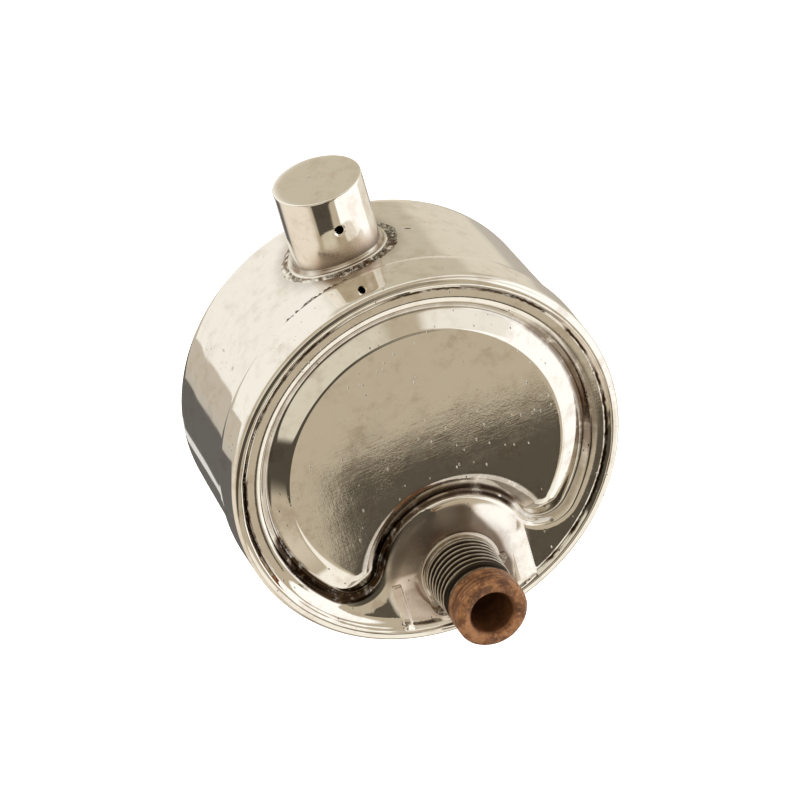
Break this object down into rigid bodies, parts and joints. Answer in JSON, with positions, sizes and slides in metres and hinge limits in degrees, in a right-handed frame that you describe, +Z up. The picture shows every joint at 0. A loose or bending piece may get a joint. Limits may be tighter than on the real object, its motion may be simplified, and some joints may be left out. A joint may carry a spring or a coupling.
{
  "type": "radiator air vent valve",
  "caption": "Drum-shaped air vent for a one-pipe steam radiator: male pipe nipple on the front, vent cap with a side hole on top, sealed float and needle inside.",
  "frame": {"origin": "on the inlet nipple's axis, in the plane of the shoulder where the thread ends", "axes": "+Z up, towards the vent cap; -Y along the nipple, away from the drum; the drum's axis is parallel to Y"},
  "size_m": [0.053, 0.04, 0.0627],
  "materials": {
    "nickel_plate": "bright nickel plate on brass, scuffed, pitted and lightly tarnished",
    "solder": "lumpy soft solder with dark flux specks",
    "bare_brass": "mill-finish brass, steam-stained",
    "float_brass": "thin drawn brass, dulled",
    "tarnished_brass": "machined brass with brown patina and turning marks"
  },
  "bodies": {
    "casing": {"front_cover": "nickel_plate", "rear_shell": "nickel_plate", "vent_cap": "nickel_plate", "inlet_nipple": "tarnished_brass", "seam_solder": "solder", "nipple_braze_ring": "solder", "cap_solder_ring": "solder", "nipple_backing_plate": "bare_brass", "siphon_tongue": "bare_brass", "inlet_baffle": "bare_brass", "vent_neck": "bare_brass", "valve_seat": "bare_brass", "needle_guide": "bare_brass", "float_cradle": "bare_brass", "left_float_guide": "bare_brass", "right_float_guide": "bare_brass"},
    "float": {"float_front_half": "float_brass", "float_rear_half": "float_brass", "float_seam_solder": "solder", "float_fill_stub": "bare_brass", "float_saddle": "bare_brass", "valve_needle": "bare_brass"}
  },
  "joints": [
    {"name": "float_lift", "type": "slide", "parent": "casing", "child": "float", "axis": [0, 0, 1], "range_m": [0, 0.0015]}
  ]
}
